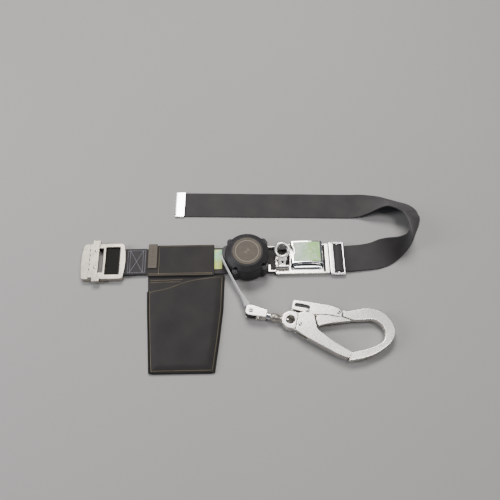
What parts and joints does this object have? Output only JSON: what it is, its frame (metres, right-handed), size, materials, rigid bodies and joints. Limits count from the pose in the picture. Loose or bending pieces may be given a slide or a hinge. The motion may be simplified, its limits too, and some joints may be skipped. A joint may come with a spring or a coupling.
{
  "type": "self retracting lifeline",
  "caption": "Belt-worn self retracting lifeline: locking strap reel, swivel link and snap hook on a work belt with buckle, tool pouch and dee ring.",
  "frame": {"origin": "where the reel's axis meets the flat back of the belt plate", "axes": "+X along the belt away from the buckle, +Y up the wearer's back, +Z away from the wearer, along the reel's axis"},
  "size_m": [0.6096, 0.3439, 0.0489],
  "materials": {
    "housing": "fine moulded texture",
    "badge": "satin",
    "satin_steel": "satin",
    "bright_steel": "polished",
    "spring_steel": "as drawn",
    "brass": "turned",
    "white_webbing": "woven",
    "dark_webbing": "woven",
    "canvas": "woven",
    "black_rubber": "matt",
    "grey_sleeve": "satin",
    "tag_rubber": "matt",
    "green_label": "printed film",
    "cream_metal": "satin paint"
  },
  "bodies": {
    "frame": {"belt_plate": "housing", "rear_cover": "housing", "front_cover": "housing", "cover_badge": "badge", "housing_screw_1": "spring_steel", "housing_screw_2": "spring_steel", "housing_screw_3": "spring_steel", "housing_screw_4": "spring_steel", "lock_ring": "spring_steel", "rear_bush": "brass", "spring_case": "housing", "power_spring": "spring_steel", "front_bush": "brass", "guide_pin": "spring_steel", "lifeline_strap": "white_webbing", "belt_webbing": "dark_webbing", "belt_tip": "bright_steel", "belt_label": "green_label", "buckle_frame": "cream_metal", "connector_base": "satin_steel", "connector_wrap": "bright_steel", "connector_label": "green_label", "dee_pin": "spring_steel", "belt_slider": "cream_metal", "pouch_back": "canvas", "pouch_band": "canvas", "pouch_front": "canvas", "pouch_pocket": "canvas", "pouch_tag": "tag_rubber"},
    "reel": {"drum": "housing", "drum_shaft": "spring_steel", "lifeline_roll": "white_webbing", "pawl_pin_a": "spring_steel", "pawl_pin_b": "spring_steel"},
    "pawl_a": {"pawl_a": "spring_steel"},
    "pawl_b": {"pawl_b": "spring_steel"},
    "roller": {"guide_roller": "bright_steel"},
    "strap_end": {"strap_eye": "white_webbing", "stitch_sleeve": "grey_sleeve", "eye_guard": "black_rubber"},
    "link": {"link_clevis": "satin_steel", "link_pin": "bright_steel", "swivel_washer": "bright_steel"},
    "hook": {"hook_body": "satin_steel", "swivel_stud": "bright_steel", "swivel_ball": "cream_metal", "gate_rivet": "bright_steel", "lever_rivet": "bright_steel", "gate_spring": "spring_steel", "lever_spring": "spring_steel"},
    "gate": {"hook_gate": "satin_steel", "nose_pin": "bright_steel"},
    "lever": {"hook_lever": "satin_steel"},
    "clamp": {"clamp_bar": "cream_metal", "clamp_rivet_1": "bright_steel", "clamp_rivet_2": "bright_steel"},
    "dee": {"dee_ring": "bright_steel"}
  },
  "joints": [
    {"name": "lifeline_payout", "type": "slide", "parent": "frame", "child": "strap_end", "axis": [0.4532, -0.8914, 0], "range_m": [0, 1], "stiffness_N_per_m": 4, "springref_m": -1.2, "deforming": ["lifeline_strap"]},
    {"name": "reel_spin", "type": "hinge", "parent": "frame", "child": "reel", "pos_m": [0, 0, 0.023], "axis": [0, 0, 1], "range_deg": [-5, 2375]},
    {"name": "roller_spin", "type": "hinge", "parent": "frame", "child": "roller", "pos_m": [-0.039, -0.002, 0.023], "axis": [0, 0, 1], "continuous": true},
    {"name": "pawl_a_swing", "type": "hinge", "parent": "reel", "child": "pawl_a", "pos_m": [0.017, -0.006, 0.0106], "axis": [0, 0, 1], "range_deg": [-9, 0], "stiffness_Nm_per_rad": 0.02},
    {"name": "pawl_b_swing", "type": "hinge", "parent": "reel", "child": "pawl_b", "pos_m": [-0.017, 0.006, 0.0106], "axis": [0, 0, 1], "range_deg": [-9, 0], "stiffness_Nm_per_rad": 0.02},
    {"name": "link_swing", "type": "hinge", "parent": "strap_end", "child": "link", "pos_m": [0.0049, -0.0978, 0.0115], "axis": [0, 0, 1], "range_deg": [-75, 15]},
    {"name": "hook_swivel", "type": "hinge", "parent": "link", "child": "hook", "pos_m": [0.05091, -0.10998, 0.0115], "axis": [0.9667, -0.256, 0], "continuous": true},
    {"name": "gate_open", "type": "hinge", "parent": "hook", "child": "gate", "pos_m": [0.09953, -0.09906, 0.0115], "axis": [0, 0, 1], "range_deg": [-30, 0], "stiffness_Nm_per_rad": 0.08, "springref_deg": 17.19, "deforming": ["gate_spring"]},
    {"name": "lever_squeeze", "type": "hinge", "parent": "hook", "child": "lever", "pos_m": [0.08549, -0.12359, 0.0115], "axis": [0, 0, 1], "range_deg": [0, 2], "stiffness_Nm_per_rad": 0.8, "springref_deg": -6.88, "deforming": ["lever_spring"]},
    {"name": "clamp_slide", "type": "slide", "parent": "frame", "child": "clamp", "axis": [1, 0, 0], "range_m": [-0.003, 0.006]},
    {"name": "dee_flip", "type": "hinge", "parent": "frame", "child": "dee", "pos_m": [0.0613, -0.016, 0.0126], "axis": [1, 0, 0], "range_deg": [0, 60]}
  ],
  "couplings": [
    {"joint": "reel_spin", "follows": "lifeline_payout", "rad_per_m": 41.364}
  ]
}
